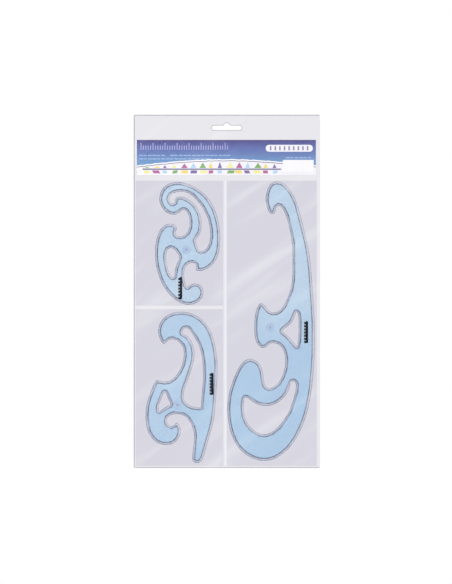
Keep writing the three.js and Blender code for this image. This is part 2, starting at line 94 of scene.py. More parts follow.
# Curves: the centre of each one's moulding gate, its dish and pip, and how deep the thin ledge lies
GATES = {"small": (-42, -132.1), "medium": (-51.2, -293.6), "large": (45.1, -213)}
DISH_RADIUS = 4.6
PIP_RADIUS = 1.7
LEDGE_DEPTH = 0.6
SURFACE_MARGIN = 0.02

# Curves' painted edge shade: how far it reaches, which way the darkest edges face, and how much goes with that
EDGE_REACH = 2.2
EDGE_SAMPLES = 8
EDGE_SHADED_SIDE = (-0.85, 0, -0.53)
EDGE_ONE_WAY_SHARE = 0.38

# Curves' painted shade: how deep it is at each one's top and foot, between which shares of its height it
# changes, and the face colour where it is lit and where it is shaded
SHADE_DEPTH = {"small": (0.2, 0.1), "medium": (0.55, 0.7), "large": (0.05, 1.0)}
SHADE_CHANGE = (0.44, 0.60)
LIT_FACE = (0.12, 0.62, 0.84)
SHADED_FACE = (0.0, 0.46, 0.77)

# Curves' opacity of each surface: the lit and shaded face, its painted edge shade, and the gate's dish, ring
# and pip
LIT_FACE_ALPHA = 0.25
SHADED_FACE_ALPHA = 0.34
FACE_EDGE_SHADE_ALPHA = 0.62
DISH_ALPHA = 0.35
RING_ALPHA = 0.44
PIP_ALPHA = 0.56
REAR_ALPHA = 0.06

# Black mark: how many teeth its comb has, the share of the pitch that a tooth fills, and where its spine starts
MARK_TEETH = 7
TOOTH_SHARE = 0.72
SPINE_START = 0.42

# Film's gloss: the share of light it reflects when seen straight on, and what is added at a grazing angle
FACING_GLOSS = 0.008
GRAZING_GLOSS = 0.6

# Header card: its colour at the top, at the foot and at shares of the way down
CARD_TOP = (0.043, 0.034, 0.168)
CARD_FOOT = (0.140, 0.320, 0.540)
CARD_BETWEEN = [(0.22, (0.078, 0.108, 0.325)), (0.42, (0.100, 0.172, 0.380)), (0.62, (0.118, 0.262, 0.470))]

# Header card's print: one layer's thickness, and the share of it between a scrap and the next one.
# Places on the card are counted from its lower left corner.
INK_THICKNESS = 0.006
SCRAP_STEP = 0.1

# White foot: its height at the card's sides and how much higher its middle is, then its rough edge's points,
# roughness, lip and shadow
FOOT_LEVEL = 10
FOOT_SWELL = 6.5
TEAR_POINTS = 84
TEAR_ROUGHNESS = 0.3
LIP_THICKNESS = 1.25
SHADOW_DROP = 1.1
SHADOW_THICKNESS = 1.0

# Scraps: the start, end and spacing of their row, their least and most width and lean, the slabs' foot and
# top, the flags' foot and how far a flag's tip stays below the rough edge, and the band between the two rows
SCRAPS_START = 8
SCRAPS_END = 145
SCRAP_SPACING = 9.5
SCRAP_WIDTHS = (4, 8)
SCRAP_LEANS = (-2, 2)
SLAB_FOOT = 1.6
SLAB_TOP = 4.8
FLAG_FOOT = 7.2
FLAG_CLEARANCE = 2.8
BAND = (6, 150, 5.4, 6.7)

# Ruler scale: where it starts and ends, its spacing, its ticks' foot, width and two heights, and how many
# ticks go from one long tick to the next
SCALE_START = 4
SCALE_END = 96
SCALE_SPACING = 2.5
TICK_FOOT = 26.2
TICK_WIDTH = 0.6
LONG_TICK = 7.2
SHORT_TICK = 4.4
TICKS_TO_LONG = 5

# Dashed lines: each one's left end, right end and foot, and the dashes' spacing, lengths and height
DASHED_LINES = [(2.4, 30, 19.8), (34.5, 97, 19.8), (2.4, 78, 16.2), (155, 181, 17.4)]
DASH_SPACING = 4.6
DASH_LENGTHS = (4.0, 3.2, 3.8)
DASH_HEIGHT = 1.1

# Plaque: its left, right, bottom and top edge and its corners' radius, and the places of the bars on it
PLAQUE = (134, 183, 24.2, 31.4, 3.4)
PLAQUE_BARS = np.arange(138.4, 178, 4.8)
PLAQUE_BAR_WIDTH = 1.5
PLAQUE_BAR_FOOT = 25.6
PLAQUE_BAR_TOP = 30.0

# Camera: parallel, straight on, with the height it sees, the place it looks at and how far away it is
VIEW_HEIGHT = 607.4
VIEW_CENTRE = (-0.8, -176.1)
VIEW_DISTANCE = 1600

# Floor: how far it lies below the pouch, and how far it reaches to each side
FLOOR_DROP = 150
FLOOR_REACH = 3000

# Key light: its place, what it points at, and its width and height, all in metres, and its power in watts
LIGHT_PLACE = (-1.1, -1.7, 0.7)
LIGHT_TARGET = (0, 0, -0.18)
LIGHT_WIDTH = 0.8
LIGHT_HEIGHT = 1.4
LIGHT_POWER = 31

# ---- Small helpers ----


def box_mm(node):
    """A CAD node's lowest and highest corners, in millimetres."""
    low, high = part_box(node)
    return np.array(low) / MM, np.array(high) / MM


def place(piece, body, slot, *replaced):
    """Puts a finished piece on its body and hides the CAD nodes it replaces. slot, the record's material slot,
    is not used.
    """
    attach(piece, body)
    if replaced:
        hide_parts(*replaced)
    return piece


def mesh_piece(name, points, faces, materials, face_materials=None, smooth=False):
    """A mesh object from points in millimetres."""
    mesh = bpy.data.meshes.new(name)
    mesh.from_pydata([tuple(c * MM for c in point) for point in points], [], faces)
    for material in materials:
        mesh.materials.append(material)
    if face_materials is not None:
        mesh.polygons.foreach_set("material_index", face_materials)
    mesh.polygons.foreach_set("use_smooth", [smooth] * len(mesh.polygons))
    mesh.update()
    piece = bpy.data.objects.new(name, mesh)
    bpy.context.scene.collection.objects.link(piece)
    return piece


def curve_piece(name, loops, depth, material, radius=0, closed=True):
    """A flat slab from loops of (x, z) points, the later ones holes, or with a radius a round bead."""
    curve = bpy.data.curves.new(name, "CURVE")
    curve.dimensions = "3D" if radius else "2D"
    curve.fill_mode = "FULL" if radius else "BOTH"
    curve.use_fill_caps = not closed
    curve.extrude = depth * MM
    curve.bevel_depth = radius * MM
    curve.bevel_resolution = 2
    for loop in loops:
        spline = curve.splines.new("POLY")
        spline.points.add(len(loop) - 1)
        for point, (x, z) in zip(spline.points, loop):
            point.co = (x * MM, z * MM, 0, 1)
        spline.use_cyclic_u = closed
    maker = bpy.data.objects.new(name + "_maker", curve)
    bpy.context.scene.collection.objects.link(maker)
    maker.rotation_euler = (math.pi / 2, 0, 0)
    bpy.context.view_layer.update()
    shape = maker.evaluated_get(bpy.context.evaluated_depsgraph_get())
    mesh = bpy.data.meshes.new_from_object(shape)
    mesh.transform(maker.matrix_world)
    bpy.data.objects.remove(maker)
    bpy.data.curves.remove(curve)
    mesh.materials.clear()
    mesh.materials.append(material)
    mesh.polygons.foreach_set("use_smooth", [radius > 0] * len(mesh.polygons))
    piece = bpy.data.objects.new(name, mesh)
    bpy.context.scene.collection.objects.link(piece)
    return piece


def arc(centre, radius, start, end, steps=8):
    """Points on an arc, its angles in degrees anticlockwise from +X."""
    angles = np.radians(np.linspace(start, end, steps + 1))
    return [(centre[0] + radius * math.cos(a), centre[1] + radius * math.sin(a)) for a in angles]


def rounded_rectangle(left, right, bottom, top, radius):
    return (arc((right - radius, bottom + radius), radius, -90, 0)
            + arc((right - radius, top - radius), radius, 0, 90)
            + arc((left + radius, top - radius), radius, 90, 180)
            + arc((left + radius, bottom + radius), radius, 180, 270))


def rectangle(left, right, bottom, top):
    return [(left, bottom), (right, bottom), (right, top), (left, top)]


# ---- Materials ----


def new_material(name):
    """An empty node material. Returns it with a function that adds a node and one that links two sockets."""
    material = bpy.data.materials.new(name)
    material.use_nodes = True
    tree = material.node_tree
    tree.nodes.clear()
    output = tree.nodes.new("ShaderNodeOutputMaterial")

    def add(kind, **settings):
        node = tree.nodes.new(kind)
        for key, value in settings.items():
            setattr(node, key, value)
        return node

    return material, add, tree.links.new, output.inputs["Surface"]


def math_node(add, link, operation, first, second):
    """A math node on two values, each a socket or a number."""
    node = add("ShaderNodeMath", operation=operation)
    for socket, value in zip(node.inputs, (first, second)):
        if isinstance(value, (int, float)):
            socket.default_value = value
        else:
            link(value, socket)
    return node.outputs[0]


def blend_colours(add, link, factor, first, second):
    """A colour between two others, each a socket or a colour."""
    node = add("ShaderNodeMix", data_type="RGBA")
    link(factor, node.inputs["Factor"])
    for socket, value in ((node.inputs["A"], first), (node.inputs["B"], second)):
        if isinstance(value, tuple):
            socket.default_value = value + (1,)
        else:
            link(value, socket)
    return node.outputs["Result"]


def blend_values(add, link, factor, first, second):
    """A value between two others, each a socket or a number."""
    node = add("ShaderNodeMix", data_type="FLOAT")
    link(factor, node.inputs["Factor"])
    for socket, value in ((node.inputs["A"], first), (node.inputs["B"], second)):
        if isinstance(value, (int, float)):
            socket.default_value = value
        else:
            link(value, socket)
    return node.outputs["Result"]


def streak_noise(add, link, across, along, angle=CREASE_ANGLE, detail=2):
    """Soft noise drawn out in streaks across the front, with the streaks' width and length in millimetres."""
    spot = add("ShaderNodeTexCoord")
    mapping = add("ShaderNodeMapping", vector_type="TEXTURE")
    mapping.inputs["Rotation"].default_value = (0, -angle, 0)
    mapping.inputs["Scale"].default_value = (along * MM, across * MM, across * MM)
    noise = add("ShaderNodeTexNoise")
    noise.inputs["Scale"].default_value = 1
    noise.inputs["Detail"].default_value = detail
    link(spot.outputs["Object"], mapping.inputs["Vector"])
    link(mapping.outputs["Vector"], noise.inputs["Vector"])
    return noise.outputs["Fac"]


def remap(add, link, value, low, high, new_low=0.0, new_high=1.0):
    """A value moved from one range to another, held at the ends."""
    node = add("ShaderNodeMapRange")
    link(value, node.inputs["Value"])
    for name, number in (("From Min", low), ("From Max", high), ("To Min", new_low), ("To Max", new_high)):
        node.inputs[name].default_value = number
    return node.outputs["Result"]


def object_axes(add, link):
    """Separate nodes for the place and the direction of a point on a surface, in the object's own frame."""
    spot = add("ShaderNodeTexCoord")
    place_axes = add("ShaderNodeSeparateXYZ")
    normal_axes = add("ShaderNodeSeparateXYZ")
    link(spot.outputs["Object"], place_axes.inputs[0])
    link(spot.outputs["Normal"], normal_axes.inputs[0])
    return place_axes.outputs, normal_axes.outputs


def finish_film(add, link, surface, tint, haze, roughness):
    """Clear film from a tint and a haze socket: it lets light through, scatters a little and is glossy."""
    clear = add("ShaderNodeBsdfTransparent")
    link(tint, clear.inputs["Color"])
    scatter = add("ShaderNodeBsdfDiffuse")
    scatter.inputs["Color"].default_value = (0.80, 0.80, 0.85, 1)
    cloudy = add("ShaderNodeMixShader")
    link(haze, cloudy.inputs["Fac"])
    link(clear.outputs[0], cloudy.inputs[1])
    link(scatter.outputs[0], cloudy.inputs[2])
    gloss = add("ShaderNodeBsdfGlossy")
    gloss.inputs["Roughness"].default_value = roughness
    slant = add("ShaderNodeLayerWeight")
    grazing = math_node(add, link, "POWER", slant.outputs["Facing"], 5)
    grazing_share = math_node(add, link, "MULTIPLY", grazing, GRAZING_GLOSS)
    share = math_node(add, link, "ADD", grazing_share, FACING_GLOSS)
    film = add("ShaderNodeMixShader")
    link(share, film.inputs["Fac"])
    link(cloudy.outputs[0], film.inputs[1])
    link(gloss.outputs[0], film.inputs[2])
    link(film.outputs[0], surface)


def film_material(name, tint, sheen_tint, roughness, haze):
    """Film with painted reflections: soft slanting streaks where it is paler and scatters more light, as from
    its creases.
    """
    material, add, link, surface = new_material(name)
    # Painted reflection: lighter, hazier streaks in the film's tint
    painted_sheen = remap(add, link, streak_noise(add, link, 17, 130), 0.53, 0.78)
    colour = blend_colours(add, link, painted_sheen, tint, sheen_tint)
    finish_film(add, link, surface, colour, math_node(add, link, "MULTIPLY", painted_sheen, haze), roughness)
    return material


def ridge_material():
    """The centre weld, a flat bar: painted shade along its left flank, and a painted highlight on a crest near
    its right edge.
    """
    material, add, link, surface = new_material("centre_weld_film")
    low, high = box_mm("centre_seam")
    place_axes, _ = object_axes(add, link)
    # Painted shade and highlight across the weld, for light on a raised ridge that the flat bar doesn't have
    ramp = add("ShaderNodeValToRGB")
    stops = ramp.color_ramp.elements
    stops[0].color = (0.850, 0.850, 0.885, 1)
    stops[1].color = (0.880, 0.880, 0.920, 1)
    crest_highlight = stops.new(0.66)
    crest_highlight.color = (0.935, 0.935, 0.965, 1)
    link(remap(add, link, place_axes["X"], low[0] * MM, high[0] * MM), ramp.inputs["Fac"])
    speckle = remap(add, link, streak_noise(add, link, 1.5, 3), 0.3, 0.9, 0.0, 0.06)
    finish_film(add, link, surface, ramp.outputs["Color"], speckle, 0.2)
    return material


def edge_shade(add, link):
    """Two values about a near edge: how close it is, and its painted shade, darkest where it faces down to the
    left.
    """
    rounded = add("ShaderNodeBevel", samples=EDGE_SAMPLES)
    rounded.inputs["Radius"].default_value = EDGE_REACH * MM
    axes = add("ShaderNodeSeparateXYZ")
    link(rounded.outputs[0], axes.inputs[0])
    sideways = add("ShaderNodeVectorMath", operation="LENGTH")
    flat = add("ShaderNodeCombineXYZ")
    link(axes.outputs["X"], flat.inputs["X"])
    link(axes.outputs["Z"], flat.inputs["Z"])
    link(flat.outputs[0], sideways.inputs[0])
    tilt = sideways.outputs["Value"]
    away_from_light = add("ShaderNodeVectorMath", operation="DOT_PRODUCT")
    link(rounded.outputs[0], away_from_light.inputs[0])
    away_from_light.inputs[1].default_value = EDGE_SHADED_SIDE
    one_way = math_node(add, link, "MULTIPLY", away_from_light.outputs["Value"], EDGE_ONE_WAY_SHARE)
    either_way = math_node(add, link, "MULTIPLY", tilt, 1 - EDGE_ONE_WAY_SHARE)
    wander = remap(add, link, streak_noise(add, link, 8, 14), 0.35, 0.65, 0.75, 1.25)
    shade = math_node(add, link, "MULTIPLY", math_node(add, link, "ADD", one_way, either_way), wander)
    return tilt, shade


def gate_zones(add, link, size, place_axes):
    """Three masks about the moulding gate: all of its dish, the pip in its middle and the ring at its rim."""
    spot = add("ShaderNodeCombineXYZ")
    link(place_axes["X"], spot.inputs["X"])
    link(place_axes["Z"], spot.inputs["Z"])
    gate = add("ShaderNodeVectorMath", operation="DISTANCE")
    link(spot.outputs[0], gate.inputs[0])
    gate_x, gate_z = GATES[size]
    gate.inputs[1].default_value = (gate_x * MM, 0, gate_z * MM)
    away = gate.outputs["Value"]
    dish = remap(add, link, away, DISH_RADIUS * 0.95 * MM, DISH_RADIUS * MM, 1.0, 0.0)
    pip = remap(add, link, away, PIP_RADIUS * 0.6 * MM, PIP_RADIUS * MM, 1.0, 0.0)
    ring = remap(add, link, away, DISH_RADIUS * 0.80 * MM, DISH_RADIUS * 0.90 * MM)
    return dish, pip, math_node(add, link, "MULTIPLY", ring, dish)


def shade_and_cloud_depth(add, link, size, height):
    """How deep a curve's painted shade is at a height: it changes about half way down, and clouds a little at
    random.
    """
    low, high = box_mm(size + "_curve")
    drop = high[2] - low[2]
    top_depth, foot_depth = SHADE_DEPTH[size]
    upper, lower = (high[2] - share * drop for share in SHADE_CHANGE)
    depth = remap(add, link, height, lower * MM, upper * MM, foot_depth, top_depth)
    cloud = remap(add, link, streak_noise(add, link, 26, 70), 0.35, 0.65, -0.15, 0.15)
    return math_node(add, link, "ADD", depth, cloud)


def plate_material(size):
    """Clear blue plastic: see-through on its faces with a little clouding, painted shade from top to foot and
    along its edges.
    """
    material, add, link, surface = new_material(size + "_tinted_plate")
    place_axes, normal_axes = object_axes(add, link)
    facing = math_node(add, link, "ABSOLUTE", normal_axes["Y"], 0)
    slope = math_node(add, link, "LESS_THAN", facing, 0.9)
    front, rear = box_mm(size + "_curve")[0][1], box_mm(size + "_curve")[1][1]
    behind = math_node(add, link, "GREATER_THAN", place_axes["Y"], (rear - SURFACE_MARGIN) * MM)
    on_ledge = math_node(add, link, "GREATER_THAN", place_axes["Y"], (front + LEDGE_DEPTH) * MM)
    dish, pip, ring = gate_zones(add, link, size, place_axes)
    outside_dish = math_node(add, link, "SUBTRACT", 1, dish)
    # Painted shade: the walls, the ledge and the face beside an edge grow darker and less clear, most facing
    # down-left
    tilt, shade = edge_shade(add, link)
    face_edge_shade = remap(add, link, tilt, 0.20, 0.34)
    shaded_wall = math_node(add, link, "MULTIPLY", slope, outside_dish)
    # Painted shade: each curve paler or darker from its top to its foot, in colour and opacity
    depth = shade_and_cloud_depth(add, link, size, place_axes["Z"])

    floor_alpha = blend_values(add, link, ring, DISH_ALPHA, RING_ALPHA)
    dish_alpha = blend_values(add, link, pip, floor_alpha, PIP_ALPHA)
    face_shade_alpha = blend_values(add, link, depth, LIT_FACE_ALPHA, SHADED_FACE_ALPHA)
    edge_shaded_alpha = blend_values(add, link, face_edge_shade, face_shade_alpha, FACE_EDGE_SHADE_ALPHA)
    face_alpha = blend_values(add, link, dish, edge_shaded_alpha, dish_alpha)
    # The ledge, the walls and the rim are as opaque as the painted edge shade makes them
    ledge_alpha = remap(add, link, shade, 0.0, 0.32, 0.05, 0.55)
    core_alpha = remap(add, link, shade, 0.0, 0.45, 0.86, 0.97)
    rim_alpha = remap(add, link, shade, 0.0, 0.45, 0.36, 0.84)
    flat_alpha = blend_values(add, link, on_ledge, face_alpha, ledge_alpha)
    edge_alpha = blend_values(add, link, on_ledge, core_alpha, rim_alpha)
    front_alpha = blend_values(add, link, shaded_wall, flat_alpha, edge_alpha)

    face = blend_colours(add, link, depth, LIT_FACE, SHADED_FACE)
    # Painted edge shade: the face beside an edge goes dark, and the ledge and walls darker still
    shaded_face_edge = math_node(add, link, "MULTIPLY", face_edge_shade, outside_dish)
    face = blend_colours(add, link, shaded_face_edge, face, (0.07, 0.16, 0.30))
    face = blend_colours(add, link, dish, face, (0.08, 0.38, 0.66))
    face = blend_colours(add, link, pip, face, (0.10, 0.26, 0.46))
    flat = blend_colours(add, link, on_ledge, face, (0.10, 0.15, 0.25))
    edge = blend_colours(add, link, on_ledge, (0.015, 0.028, 0.060), (0.05, 0.08, 0.14))
    front_colour = blend_colours(add, link, shaded_wall, flat, edge)
    shell = add("ShaderNodeBsdfPrincipled")
    colour = blend_colours(add, link, behind, front_colour, (0.20, 0.60, 0.95))
    link(colour, shell.inputs["Base Color"])
    link(blend_values(add, link, behind, front_alpha, REAR_ALPHA), shell.inputs["Alpha"])
    shell.inputs["Roughness"].default_value = 0.12
    shell.inputs["IOR"].default_value = 1.45
    link(shell.outputs[0], surface)
    return material


def plain_material(name, colour, roughness, grain=0.0, grain_size=2.0, coat=0.0):
    """An opaque printed or paper surface with a slight grain in its colour and its relief."""
    material, add, link, surface = new_material(name)
    noise = streak_noise(add, link, grain_size, grain_size * 1.6, detail=4)
    darker = tuple(c * (1 - grain) for c in colour)
    shell = add("ShaderNodeBsdfPrincipled")
    link(blend_colours(add, link, noise, colour, darker), shell.inputs["Base Color"])
    bump = add("ShaderNodeBump")
    bump.inputs["Strength"].default_value = 0.15
    bump.inputs["Distance"].default_value = 0.02 * MM
    link(noise, bump.inputs["Height"])
    link(bump.outputs["Normal"], shell.inputs["Normal"])
    shell.inputs["Roughness"].default_value = roughness
    shell.inputs["Coat Weight"].default_value = coat
    link(shell.outputs[0], surface)
    return material


def card_material():
    """Glossy printed card: violet at the top, sky blue at the foot, and bare board on the back."""
    material, add, link, surface = new_material("card_gradient")
    low, high = box_mm("header_card")
    place_axes, normal_axes = object_axes(add, link)
    ramp = add("ShaderNodeValToRGB")
    stops = ramp.color_ramp.elements
    stops[0].color = CARD_TOP + (1,)
    stops[1].color = CARD_FOOT + (1,)
    for share, colour in CARD_BETWEEN:
        stops.new(share).color = colour + (1,)
    link(remap(add, link, place_axes["Z"], high[2] * MM, low[2] * MM), ramp.inputs["Fac"])
    mottle = remap(add, link, streak_noise(add, link, 5, 9, detail=4), 0.2, 0.8, 0.0, 0.08)
    ink = blend_colours(add, link, mottle, ramp.outputs["Color"], (0.5, 0.5, 0.8))
    behind = math_node(add, link, "GREATER_THAN", normal_axes["Y"], 0.5)
    shell = add("ShaderNodeBsdfPrincipled")
    link(blend_colours(add, link, behind, ink, (0.80, 0.79, 0.77)), shell.inputs["Base Color"])
    shell.inputs["Roughness"].default_value = 0.35
    shell.inputs["Coat Weight"].default_value = 0.2
    link(shell.outputs[0], surface)
    return material


def mark_material():
    """Black hot-stamped foil in a plain upright comb with straight teeth, clear between the teeth."""
    material, add, link, surface = new_material("stamped_mark")
    spot = add("ShaderNodeTexCoord")
    axes = add("ShaderNodeSeparateXYZ")
    link(spot.outputs["Generated"], axes.inputs[0])
    along = math_node(add, link, "MULTIPLY", axes.outputs["Z"], MARK_TEETH)
    wear = remap(add, link, streak_noise(add, link, 0.6, 0.9), 0.3, 0.7, -0.08, 0.08)
    tooth = math_node(add, link, "LESS_THAN", math_node(add, link, "FRACT", along, 0),
                      math_node(add, link, "ADD", wear, TOOTH_SHARE))
    spine_edge = math_node(add, link, "ADD", wear, SPINE_START)
    spine = math_node(add, link, "GREATER_THAN", axes.outputs["X"], spine_edge)
    shell = add("ShaderNodeBsdfPrincipled")
    grain = streak_noise(add, link, 0.8, 1.2, detail=4)
    black = blend_colours(add, link, grain, (0.001, 0.002, 0.004), (0.006, 0.009, 0.015))
    link(black, shell.inputs["Base Color"])
    link(math_node(add, link, "MAXIMUM", tooth, spine), shell.inputs["Alpha"])
    shell.inputs["Roughness"].default_value = 0.5
    shell.inputs["Specular IOR Level"].default_value = 0.1
    link(shell.outputs[0], surface)
    return material


# ---- The pouch ----


def pockets():
    """Each pocket between the seams: its left, right, bottom and top edge, and what it holds."""
    left = box_mm("left_seam")[1][0]
    right = box_mm("right_seam")[0][0]
    centre_left, centre_right = box_mm("centre_seam")[0][0], box_mm("centre_seam")[1][0]
    header_bottom, header_top = box_mm("header_seam")[0][2], box_mm("header_seam")[1][2]
    cross_bottom, cross_top = box_mm("cross_seam")[0][2], box_mm("cross_seam")[1][2]
    bottom = box_mm("bottom_seam")[1][2]
    tab_bottom = box_mm("hang_tab")[0][2]
    return [
        ((left, right, header_top, tab_bottom), "card"),
        ((left, centre_left, cross_top, header_bottom), "plate"),
        ((left, centre_left, bottom, cross_bottom), "plate"),
        ((centre_right, right, bottom, header_bottom), "plate"),
    ]


def grid_lines(low, high):
    """Grid lines across a pocket, close together at its welds."""
    inner_low, inner_high = low + GRID_EDGE[-1], high - GRID_EDGE[-1]
    count = max(2, round((inner_high - inner_low) / GRID_STEP))
    inner = np.linspace(inner_low, inner_high, count + 1)
    return np.concatenate([low + np.array(GRID_EDGE[:-1]), inner, high - np.array(GRID_EDGE[-2::-1])])


def creases(x, z, inset, seed):
    """Soft creases in slack film, always outwards: slanting ones across it, and folds into its corners."""
    chance = np.random.default_rng(seed)
    across = x * math.sin(CREASE_ANGLE) - z * math.cos(CREASE_ANGLE)
    along = x * math.cos(CREASE_ANGLE) + z * math.sin(CREASE_ANGLE)
    rise = np.zeros_like(x)
    for _ in range(CREASE_COUNT):
        middle = chance.uniform(across.min(), across.max())
        centre = chance.uniform(along.min(), along.max())
        width = chance.uniform(*CREASE_WIDTHS)
        length = chance.uniform(*CREASE_LENGTHS)
        bow = chance.uniform(-CREASE_BOW, CREASE_BOW)
        offset = across - middle - bow * (along - centre) ** 2
        rise += chance.uniform(0.4, 1) * np.exp(-((offset / width) ** 2) - ((along - centre) / length) ** 2)
    folds = np.zeros_like(x)
    for corner_x, corner_z in product((x.min(), x.max()), (z.min(), z.max())):
        reach = np.hypot(x - corner_x, z - corner_z)
        angle = np.arctan2(np.abs(z - corner_z), np.abs(x - corner_x))
        ripple = 0.5 + 0.5 * np.cos(angle * 10 + chance.uniform(0, 6))
        folds += ripple * np.exp(-reach / CORNER_FOLD_LENGTH) * np.clip(reach / 6, 0, 1)
    calm = np.clip(inset / CALM_MARGIN, 0, 1) ** 2
    return calm * (CREASE_HEIGHT * rise + CORNER_FOLD_HEIGHT * folds)


def film_sheet(name, side, lifts, materials):
    """One of the two sheets: a panel over each pocket, from weld to weld. side is -1 in front, 1 behind."""
    points, faces, face_materials = [], [], []
    for seed, ((left, right, bottom, top), content) in enumerate(pockets()):
        xs, zs = grid_lines(left, right), grid_lines(bottom, top)
        x, z = np.meshgrid(xs, zs)
        inset = np.minimum(np.minimum(x - left, right - x), np.minimum(z - bottom, top - z))
        near = 1 - np.clip(inset / RAMP, 0, 1)
        lift = lifts[content] * np.sqrt(1 - near ** 2) + creases(x, z, inset, seed * 2 + side + 5)
        y = side * (FILM_EDGE + lift)
        first = len(points)
        points.extend(zip(x.ravel(), y.ravel(), z.ravel()))
        wide = len(xs)
        for row in range(len(zs) - 1):
            for column in range(wide - 1):
                a = first + row * wide + column
                faces.append((a, a + 1, a + wide + 1, a + wide))
        face_materials += [int(content == "card")] * (len(faces) - len(face_materials))
    return mesh_piece(name, points, faces, materials, face_materials, smooth=True)


def hang_slot_loop():
    """The hang slot's outline: a long slot with round ends and a round-topped notch for a peg."""
    radius = (SLOT_TOP - SLOT_BOTTOM) / 2
    end_x, middle = SLOT_WIDTH / 2 - radius, (SLOT_TOP + SLOT_BOTTOM) / 2
    notch = NOTCH_WIDTH / 2
    start = math.degrees(math.asin((notch + SLOT_TOP) / notch))
    return (arc((end_x, middle), radius, -90, 90)
            + arc((0, -notch), notch, start, 180 - start, 16)
            + arc((-end_x, middle), radius, 90, 270))


def fused_seams(material, centre_material):
    """The welds as slim flat bars, and the tab with its slot, all meeting edge to edge."""
    tab_low, tab_high = box_mm("hang_tab")
    left, right = tab_low[0], tab_high[0]
    left_edge, right_edge = box_mm("left_seam")[1][0], box_mm("right_seam")[0][0]
    bottom = box_mm("left_seam")[0][2]
    bottom_top = box_mm("bottom_seam")[1][2]
    header_bottom, header_top = box_mm("header_seam")[0][2], box_mm("header_seam")[1][2]
    cross_bottom, cross_top = box_mm("cross_seam")[0][2], box_mm("cross_seam")[1][2]
    centre_left, centre_right = box_mm("centre_seam")[0][0], box_mm("centre_seam")[1][0]
    tab = rounded_rectangle(left, right, tab_low[2], tab_high[2], POUCH_CORNER)
    tab = [(x, tab_low[2] if z < tab_low[2] + POUCH_CORNER else z) for x, z in tab]
    outlines = {
        "hang_tab": [tab, hang_slot_loop()],
        "left_seam": [rectangle(left, left_edge, bottom, tab_low[2])],
        "right_seam": [rectangle(right_edge, right, bottom, tab_low[2])],
        "header_seam": [rectangle(left_edge, right_edge, header_bottom, header_top)],
        "bottom_seam": [rectangle(left_edge, right_edge, bottom, bottom_top)],
        "centre_seam": [rectangle(centre_left, centre_right, bottom_top, header_bottom)],
        "cross_seam": [rectangle(left_edge, centre_left, cross_bottom, cross_top)],
    }
    for node, loops in outlines.items():
        surface = centre_material if node == "centre_seam" else material
        bar = curve_piece(node + "_weld", loops, WELD_HALF_THICKNESS, surface)
        place(bar, "pouch", "fused_film", node)


def beads(material):
    """The thin bead where a hot wire cut the film: on three sides of the pouch, and round the slot."""
    low, high = box_mm("rear_film")
    left, right = low[0] + BEAD_INSET, high[0] - BEAD_INSET
    bottom, top = low[2] + BEAD_INSET / 2, high[2] - BEAD_INSET / 2
    corner = POUCH_CORNER
    path = ([(right, top)] + arc((left + corner, top - corner), corner, 90, 180)
            + arc((left + corner, bottom + corner), corner, 180, 270) + [(right, bottom)])
    edge = curve_piece("cut_edge_bead", [path], 0, material, radius=BEAD_RADIUS, closed=False)
    place(edge, "pouch", "fused_film")
    slot = curve_piece("slot_edge_bead", [hang_slot_loop()], 0, material, radius=BEAD_RADIUS * 0.8)
    place(slot, "pouch", "fused_film")


# ---- The header card ----


class Artwork:
    """Flat printed shapes on the header card, placed in millimetres from its lower left corner."""

    def __init__(self):
        self.low, self.high = box_mm("header_card")
        self.points, self.faces, self.inks, self.layer = [], [], [], 1

    def shape(self, ink, corners):
        first = len(self.points)
        y = self.low[1] - INK_THICKNESS * self.layer
        self.points.extend((self.low[0] + u, y, self.low[2] + v) for u, v in corners)
        self.faces.append(tuple(range(first, len(self.points))))
        self.inks.append(ink)

    def bar(self, ink, left, right, bottom, top):
        self.shape(ink, rectangle(left, right, bottom, top))

    def strip(self, ink, path, drop, thickness):
        """A strip hanging below a path, in upright pieces so that each stays flat and simple."""
        for (u0, v0), (u1, v1) in zip(path, path[1:]):
            upper0, upper1 = v0 - drop, v1 - drop
            lower0, lower1 = max(0, upper0 - thickness), max(0, upper1 - thickness)
            self.shape(ink, [(u0, lower0), (u1, lower1), (u1, upper1), (u0, upper0)])

    def piece(self, name):
        names = sorted(set(self.inks))
        surfaces = [plain_material("ink_" + ink, INKS[ink], 0.4, grain=0.08, coat=0.2) for ink in names]
        indices = [names.index(ink) for ink in self.inks]
        return mesh_piece(name, self.points, self.faces, surfaces, indices)


INKS = {
    "white": (0.80, 0.79, 0.81), "lip": (0.88, 0.88, 0.89), "yellow": (0.78, 0.76, 0.30),
    "amber": (0.80, 0.62, 0.14), "magenta": (0.44, 0.11, 0.28), "sky": (0.40, 0.59, 0.77),
    "green": (0.20, 0.39, 0.12), "violet": (0.20, 0.13, 0.32), "lilac": (0.20, 0.18, 0.36),
    "indigo": (0.11, 0.10, 0.24), "shadow": (0.22, 0.20, 0.26),
    "pale": (0.30, 0.43, 0.68), "lavender": (0.50, 0.50, 0.74),
}

SCRAP_INKS = ("yellow", "magenta", "sky", "green", "amber", "violet")


